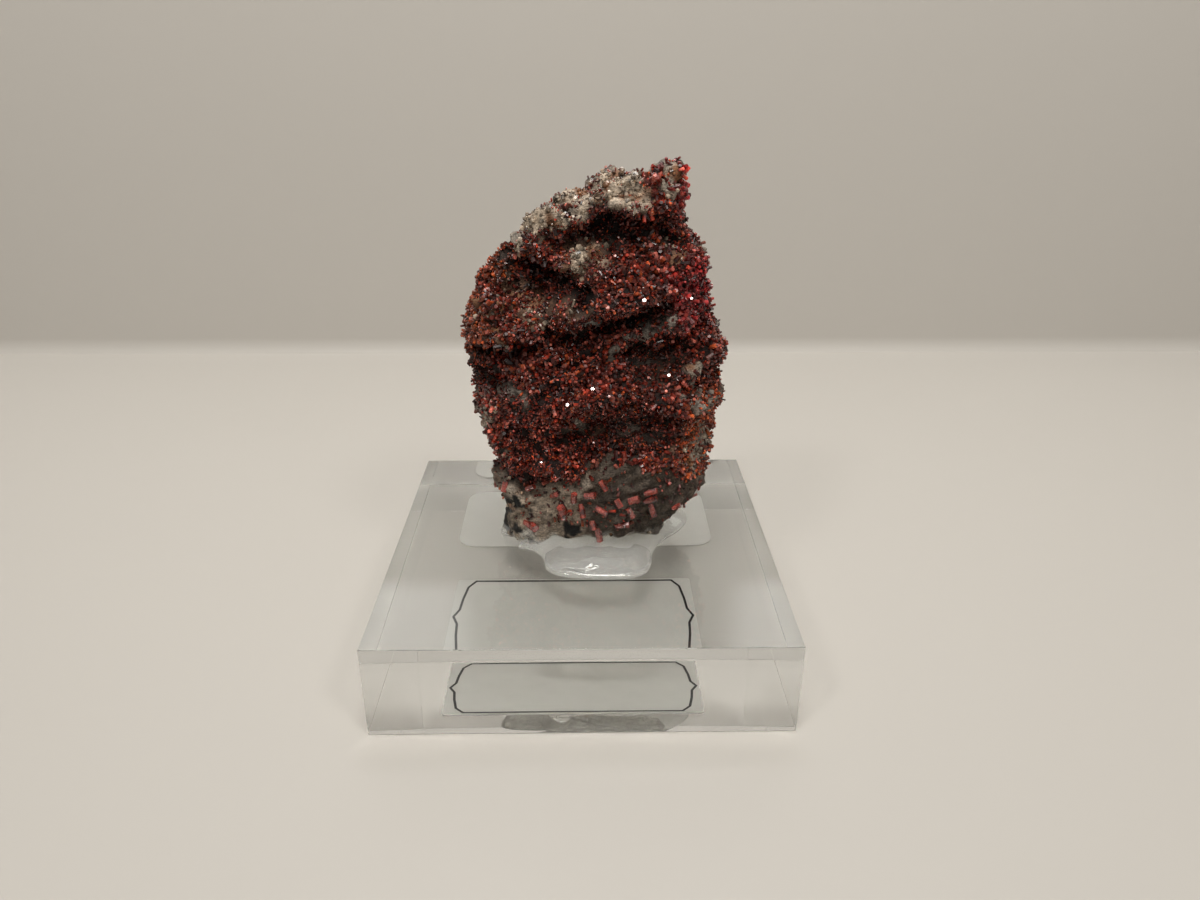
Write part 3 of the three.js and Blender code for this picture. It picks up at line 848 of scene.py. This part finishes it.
def prism_mesh(name, feet, axes, lengths, widths, tints, taper=PRISM_TAPER, point=0.0):
    """Six-sided prisms standing on their feet, each with its own tint, darkened towards the root as painted
    shade.
    """
    count = len(feet)
    spin = rng.uniform(0, math.tau, count)
    side = np.cross(axes, np.where(np.abs(axes[:, 2:]) < UPRIGHT, [0, 0, 1.0], [1.0, 0, 0]))
    side /= np.linalg.norm(side, axis=1)[:, None]
    other = np.cross(axes, side)
    corner = np.arange(PRISM_SIDES)
    angles = spin[:, None] + corner * math.tau / PRISM_SIDES
    ring = side[:, None] * np.cos(angles)[:, :, None] + other[:, None] * np.sin(angles)[:, :, None]
    ring *= widths[:, None, None] / 2
    low = feet[:, None] + ring
    high = feet[:, None] + (axes * lengths[:, None])[:, None] + ring * taper
    tip = feet + axes * (lengths + point * widths)[:, None]
    points = np.concatenate([low, high, tip[:, None]], axis=1).reshape(-1, 3)
    after = (corner + 1) % PRISM_SIDES
    sides = np.column_stack([corner, after, after + PRISM_SIDES, corner + PRISM_SIDES])
    top = np.full(PRISM_SIDES, 2 * PRISM_SIDES)
    caps = np.column_stack([corner + PRISM_SIDES, after + PRISM_SIDES, top])
    # The root ring is darkened as painted shade
    shade = np.concatenate([np.full(PRISM_SIDES, ROOT_SHADE), np.ones(PRISM_SIDES + 1)])
    starts = len(shade) * np.arange(count)[:, None, None]
    faces = (starts + sides).reshape(-1, 4).tolist() + (starts + caps).reshape(-1, 3).tolist()
    mesh = mesh_from(name, points, faces)
    colours = tints[:, None] * shade[None, :, None]
    paint(mesh, "tint_and_painted_root_shade", np.concatenate([colours, np.ones((count, len(shade), 1))], axis=2))
    return mesh


def leaning(normals, lean):
    """Each normal, turned at random."""
    turn = rng.normal(size=normals.shape)
    turn /= np.linalg.norm(turn, axis=1)[:, None]
    axes = normals + lean * turn
    return axes / np.linalg.norm(axes, axis=1)[:, None]


def crystal_tints_and_painted_shade(zone, chosen):
    """A colour for each crystal: mostly dark red to red-brown, some orange or pink, and some crimson, darkened
    as painted shade in the arches and recesses.
    """
    count = len(chosen)
    tints = np.tile(linear(DARK_RED), (count, 1))
    tints = blend(tints, RED_BROWN, rng.random(count))
    orange = zone["orange"][chosen]
    flecked = rng.random(count) < ORANGE_ODDS[0] + ORANGE_ODDS[1] * orange
    tints = blend(tints, ORANGE, np.clip(ORANGE_SHARE * orange + ORANGE_SHARE * flecked, 0, 1))
    tints = blend(tints, PINK, PINK_SHARE * (rng.random(count) < PINK_ODDS))
    tints = blend(tints, CRIMSON, CRIMSON_SHARE * zone["crimson"][chosen])
    glow = np.exp(rng.normal(*TINT_SPREAD, count)).clip(0, TINT_BRIGHTEST)
    # Zones change the brightness; in the arches and recesses this is painted shade
    for name, change in TINT_AND_PAINTED_SHADE_ZONES.items():
        glow *= 1 + change * zone[name][chosen]
    return tints * glow[:, None]


def make_druse(rock, zone):
    """Crystals all over the druse, in one mesh for each crust of the frame, whichever lies nearest."""
    points, normals = points_of(rock.data), normals_of(rock.data)
    clumped = smooth_step(rough(points, DRUSE_CLUMP, SHIFTS["clump"]), *CLUMP_EDGE)
    weight = zone["druse"] * (CLUMP_LEAST + (1 - CLUMP_LEAST) * clumped)
    strays = STRAYS_ON_FOOT * zone["foot"] * (1 - zone["black"]) + STRAYS_ON_BACK * (1 - zone["front"])
    weight += strays * smooth_step(points[:, 2], *STRAYS_FROM_Z)
    chosen = rng.choice(len(points), DRUSE_COUNT, p=weight / weight.sum())
    size = np.exp(rng.normal(0, DRUSE_SPREAD, DRUSE_COUNT)).clip(0, DRUSE_LARGEST)
    size *= 1 + DRUSE_GROW * rough(points[chosen], DRUSE_GROW_WAVE, SHIFTS["grow"])
    size *= sum((change * zone[name][chosen] for name, change in DRUSE_ZONES.items()), 1.0)
    lengths = DRUSE_LENGTH * size * rng.uniform(*DRUSE_LENGTHS, DRUSE_COUNT) + DRUSE_ROOT
    axes = leaning(normals[chosen], DRUSE_LEAN)
    shift = rng.uniform(-ROCK_VOXEL / 2, ROCK_VOXEL / 2, (DRUSE_COUNT, 3))
    feet = points[chosen] + shift - axes * DRUSE_ROOT
    tints = crystal_tints_and_painted_shade(zone, chosen)
    crusts = [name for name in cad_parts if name.startswith("vanadinite_crust")]
    middles = np.array([np.mean(points_of(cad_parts[name].data), axis=0) for name in crusts])
    nearest = np.argmin(np.linalg.norm(feet[:, None] - middles[None], axis=2), axis=1)
    material = druse_material()
    for number, name in enumerate(crusts):
        own = nearest == number
        mesh = prism_mesh(name, feet[own], axes[own], lengths[own], DRUSE_WIDTH * size[own], tints[own])
        druse = new_object(name.replace("crust", "druse"), mesh, material)
        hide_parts(name)
        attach(druse, "root")


def make_glints(rock):
    """A few larger clear-faced crystals that catch the lamp."""
    points = points_of(rock.data)
    spots = np.array(GLINTS)
    feet = []
    for x, z in spots:
        near = points[np.hypot(points[:, 0] - x, points[:, 2] - z) < GLINT_SEARCH]
        feet.append(near[np.argmin(near[:, 1])])
    count = len(spots)
    axes = leaning(np.tile(GLINT_AXIS, (count, 1)), GLINT_LEAN)
    widths = rng.uniform(*GLINT_WIDTHS, count)
    tints = np.tile(linear(PINK), (count, 1))
    mesh = prism_mesh("glints", np.array(feet) - axes * DRUSE_ROOT, axes, widths + DRUSE_ROOT, widths, tints)
    glints = new_object("vanadinite_glints", mesh, glint_material())
    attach(glints, "root")


def make_quartz(rock, zone):
    """Small glassy grains of quartz on its knobs."""
    points, normals = points_of(rock.data), normals_of(rock.data)
    share = sum(odds * zone[name] for name, odds in QUARTZ_ZONES.items())
    chosen = rng.choice(len(points), QUARTZ_GRAINS, replace=False, p=share / share.sum())
    axes = leaning(normals[chosen], QUARTZ_LEAN)
    size = QUARTZ_GRAIN * np.exp(rng.normal(0, QUARTZ_SPREAD, QUARTZ_GRAINS)).clip(0, QUARTZ_LARGEST)
    feet = points[chosen] - QUARTZ_ROOT * size[:, None] * axes
    cloud = QUARTZ_CLOUD_DEPTH * rough(points[chosen], QUARTZ_CLOUD, SHIFTS["cloud"])
    tints = blend(np.tile(linear(QUARTZ), (QUARTZ_GRAINS, 1)), STAIN, zone["stain"][chosen])
    tints *= np.exp(rng.normal(0, QUARTZ_TINT_SPREAD, QUARTZ_GRAINS) + cloud)[:, None]
    lengths = QUARTZ_LENGTH * size
    widths = QUARTZ_WIDTH * size
    mesh = prism_mesh("quartz_grains", feet, axes, lengths, widths, tints, QUARTZ_TAPER, QUARTZ_POINT)
    quartz = new_object("quartz_grains", mesh, quartz_material())
    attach(quartz, "root")


def dress_lone_crystals():
    material = lone_crystal_material()
    for name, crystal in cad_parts.items():
        if name.startswith("vanadinite_crystal"):
            crystal.data.materials.clear()
            crystal.data.materials.append(material)


# The display block, its films and the glue


def make_block():
    low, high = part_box("acrylic_block")
    mesh = bpy.data.meshes.new("acrylic")
    shape = bmesh.new()
    place = Matrix.Translation((low + high) / 2) @ Matrix.Diagonal((*(high - low), 1))
    bmesh.ops.create_cube(shape, size=1, matrix=place)
    edges = shape.edges[:]
    bmesh.ops.bevel(shape, geom=edges, offset=BLOCK_BEVEL * MM, segments=2, profile=0.5, affect="EDGES")
    shape.to_mesh(mesh)
    shape.free()
    acrylic = clear_material("acrylic", ACRYLIC, clarity=1.0, wave=14, wave_height=0.004)
    block = new_object("display_block", mesh, acrylic)
    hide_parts("acrylic_block")
    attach(block, "root")


def make_films():
    for name, opacity in FILM_OPACITY.items():
        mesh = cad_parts[name].data.copy()
        mesh.materials.clear()
        mesh.transform(Matrix.Translation((0, 0, FILM_LIFT * MM)))
        piece = new_object(name + "_film", mesh, film_material(name, opacity))
        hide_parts(name)
        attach(piece, "root")


def make_border():
    """A plain bracketed border line, printed on the front film."""
    low, high = (np.array(corner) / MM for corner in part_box("name_label"))
    cx, cy = (low[:2] + high[:2]) / 2
    half_width, half_depth = (high[:2] - low[:2]) / 2
    right = BORDER_QUARTER + [(a, -b) for a, b in BORDER_QUARTER[-2::-1]]
    loop = right + [(-a, b) for a, b in right[::-1]]
    line = np.array([(cx + a * half_width, cy + b * half_depth) for a, b in loop])
    before, after = np.roll(line, 1, axis=0), np.roll(line, -1, axis=0)
    along = [(d / np.linalg.norm(d, axis=1)[:, None]) for d in (line - before, after - line)]
    across = [np.column_stack([-d[:, 1], d[:, 0]]) for d in along]
    mitre = across[0] + across[1]
    mitre /= np.einsum("ij,ij->i", mitre, across[0])[:, None]
    inner, outer = line - mitre * INK_WIDTH / 2, line + mitre * INK_WIDTH / 2
    base = high[2] + FILM_LIFT + INK_THICKNESS
    count = len(line)
    levels = [(ring, base + lift) for lift in (0, INK_THICKNESS) for ring in (inner, outer)]
    points = np.concatenate([np.column_stack([ring, np.full(count, z)]) for ring, z in levels])
    faces = []
    for i in range(count):
        j = (i + 1) % count
        corners = [(level * count + i, level * count + j) for level in (0, 1, 3, 2)]
        for (a, b), (d, c) in zip(corners, corners[1:] + corners[:1]):
            faces.append((a, b, c, d))
    border = new_object("label_border", mesh_from("label_border", points, faces), ink_material())
    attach(border, "root")


def glue_rim():
    """The puddle's outline on the block, from its solid, as a smooth closed curve round its middle."""
    points = points_of(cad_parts["adhesive"].data)
    floor = points[points[:, 2] < points[:, 2].min() + GLUE_FLOOR][:, :2]
    middle = (floor.min(0) + floor.max(0)) / 2
    away = floor - middle
    angle, reach = np.arctan2(away[:, 1], away[:, 0]), np.linalg.norm(away, axis=1)
    sectors = np.linspace(-math.pi, math.pi, GLUE_SIDES, endpoint=False)
    order = np.argsort(angle)
    reach = np.interp(sectors, angle[order], reach[order], period=math.tau)
    for _ in range(GLUE_SMOOTHINGS):
        reach = (np.roll(reach, 1) + 2 * reach + np.roll(reach, -1)) / 4
    return middle, sectors, reach


def make_glue(rock):
    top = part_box("acrylic_block")[1].z / MM
    middle, sectors, reach = glue_rim()
    points = points_of(rock.data)
    foot = points[points[:, 2] < top + GLUE_GRIP]
    tree = kdtree.KDTree(len(foot))
    for number, (x, y, _) in enumerate(foot):
        tree.insert((x, y, 0), number)
    tree.balance()
    heading = np.column_stack([np.cos(sectors), np.sin(sectors)])
    rings = [np.column_stack([middle + heading * reach[:, None], np.full(GLUE_SIDES, top - GLUE_SINK)])]
    for share in 1 - np.linspace(0, 1, GLUE_RINGS, endpoint=False) ** GLUE_CROWD:
        plan = middle + heading * (reach * share)[:, None]
        from_rim = reach * (1 - share)
        from_rock = np.array([tree.find((x, y, 0))[2] for x, y in plan])
        edge = np.sqrt(1 - (1 - np.clip(from_rim / GLUE_EDGE, 0, 1)) ** 2)
        rise = GLUE_RISE * np.exp(-((from_rock / GLUE_FILLET) ** GLUE_FALL))
        dome = GLUE_DOME * (1 - (1 - np.clip(from_rim / GLUE_SPAN, 0, 1)) ** 2)
        flat = np.column_stack([plan, np.zeros(GLUE_SIDES)])
        wave = GLUE_WAVE * rough(flat, GLUE_WAVE_LENGTH, SHIFTS["glue"])
        height = edge * (GLUE_RIM + dome + rise + wave * np.clip(from_rim, 0, 1))
        rings.append(np.column_stack([plan, top + height]))
    points = np.concatenate([*rings, [[*middle, top + GLUE_RIM + GLUE_DOME + GLUE_RISE]]])
    corner = np.arange(GLUE_SIDES)
    after = np.roll(corner, -1)
    corners = np.column_stack([corner, after, after + GLUE_SIDES, corner + GLUE_SIDES])
    faces = [tuple(face) for ring in range(GLUE_RINGS) for face in (corners + ring * GLUE_SIDES).tolist()]
    crown = GLUE_RINGS * GLUE_SIDES
    faces += [(crown + i, crown + j, len(points) - 1) for i, j in enumerate(after.tolist())]
    faces.append(tuple(range(GLUE_SIDES - 1, -1, -1)))
    mesh = mesh_from("glue", points, faces, smooth=True)
    mesh.polygons[len(faces) - 1].use_smooth = False
    mesh.set_sharp_from_angle(angle=math.radians(GLUE_CREASE))
    hot_melt = clear_material("hot_melt", HOT_MELT, clarity=0.8, wave=1.6, wave_height=0.03)
    glue = new_object("glue", mesh, hot_melt)
    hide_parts("adhesive")
    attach(glue, "root")


# Stage, light and camera


def make_stage():
    arc = np.radians(np.linspace(COVE_FROM, 90, COVE_STEPS))
    out = COVE_RADIUS * (np.sin(arc) - 1)
    up = COVE_RADIUS * (math.cos(arc[0]) - np.cos(arc))
    cove = zip(WALL_Y + out, TABLE_Z + up)
    profile = [(STAGE_FRONT, TABLE_Z), *cove, (WALL_Y, WALL_HEIGHT)]
    points = [(x, y, z) for y, z in profile for x in (-STAGE_HALF_WIDTH, STAGE_HALF_WIDTH)]
    faces = [(2 * i, 2 * i + 1, 2 * i + 3, 2 * i + 2) for i in range(len(profile) - 1)]
    mesh = mesh_from("table", points, faces, smooth=True)
    mesh.set_sharp_from_angle(angle=math.radians(COVE_FROM / 2))
    new_object("table", mesh, table_material())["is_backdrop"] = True


def add_light(name, at, towards, width, power, colour, depth=None):
    """A round lamp, or a rectangular one where it has a depth."""
    light = bpy.data.lights.new(name, "AREA")
    light.shape = "RECTANGLE" if depth else "DISK"
    light.size = width * MM
    if depth:
        light.size_y = depth * MM
    light.energy = power
    light.color = colour
    lamp = bpy.data.objects.new(name, light)
    lamp.location = Vector(at) * MM
    lamp.rotation_euler = (Vector(towards) - Vector(at)).to_track_quat("-Z", "Y").to_euler()
    bpy.context.scene.collection.objects.link(lamp)
    return lamp


def soften(light):
    """Fades a rectangular light towards its four edges."""
    light.use_nodes = True
    tree = light.node_tree
    place = tree.nodes.new("ShaderNodeNewGeometry")
    axes = tree.nodes.new("ShaderNodeSeparateXYZ")
    product = tree.nodes.new("ShaderNodeMath")
    product.operation = "MULTIPLY"
    tree.links.new(place.outputs["Parametric"], axes.inputs["Vector"])
    for number, axis in enumerate("XY"):
        inward = tree.nodes.new("ShaderNodeMath")
        inward.operation = "PINGPONG"
        inward.inputs[1].default_value = CARD_MIDDLE
        ramp = tree.nodes.new("ShaderNodeMapRange")
        ramp.interpolation_type = "SMOOTHSTEP"
        ramp.inputs["From Max"].default_value = CARD_SOFT
        tree.links.new(axes.outputs[axis], inward.inputs[0])
        tree.links.new(inward.outputs["Value"], ramp.inputs["Value"])
        tree.links.new(ramp.outputs["Result"], product.inputs[number])
    tree.links.new(product.outputs["Value"], tree.nodes["Emission"].inputs["Strength"])


def make_lights():
    for lamp in LAMPS:
        add_light(*lamp)
    wash = add_light(*WASH, depth=WASH_DEPTH)
    wash.data.spread = math.radians(WASH_SPREAD)
    for name, at, towards, width, depth, glow in CARDS:
        power = glow * math.pi * width * depth * MM**2
        card = add_light(name, at, towards, width, power, CARD_COLOUR, depth)
        card.visible_camera = False
        card.visible_diffuse = False
        card.visible_transmission = False
        soften(card.data)
    world = bpy.data.worlds.new("room")
    world.use_nodes = True
    background = world.node_tree.nodes["Background"]
    background.inputs["Color"].default_value = (*linear(ROOM), 1)
    background.inputs["Strength"].default_value = ROOM_GLOW
    bpy.context.scene.world = world


def make_camera():
    pitch, yaw, roll = (math.radians(a) for a in (CAMERA_PITCH, CAMERA_YAW, CAMERA_ROLL))
    forward = Vector((math.sin(yaw) * math.cos(pitch), math.cos(yaw) * math.cos(pitch), -math.sin(pitch)))
    level = Vector((math.cos(yaw), -math.sin(yaw), 0))
    upright = level.cross(forward)
    right = math.cos(roll) * level + math.sin(roll) * upright
    up = right.cross(forward)
    data = bpy.data.cameras.new("camera")
    data.sensor_width = SENSOR
    data.lens = LENS
    data.clip_start = CLIP_START * MM
    camera = bpy.data.objects.new("camera", data)
    turn = Matrix((right, up, -forward)).transposed().to_4x4()
    camera.matrix_world = Matrix.Translation(Vector(CAMERA_AT) * MM) @ turn
    bpy.context.scene.collection.objects.link(camera)
    bpy.context.scene.camera = camera


make_camera()
make_stage()
make_lights()
rock, zone = make_rock()
make_druse(rock, zone)
make_glints(rock)
make_quartz(rock, zone)
dress_lone_crystals()
make_block()
make_films()
make_border()
make_glue(rock)
bpy.context.scene.view_settings.view_transform = "Standard"
for setting, value in LIGHT_PATHS.items():
    setattr(bpy.context.scene.cycles, setting, value)

boxes = {"cad": cad_box, "visual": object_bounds()}
{name: [list(corner) for corner in box] for name, box in boxes.items()}
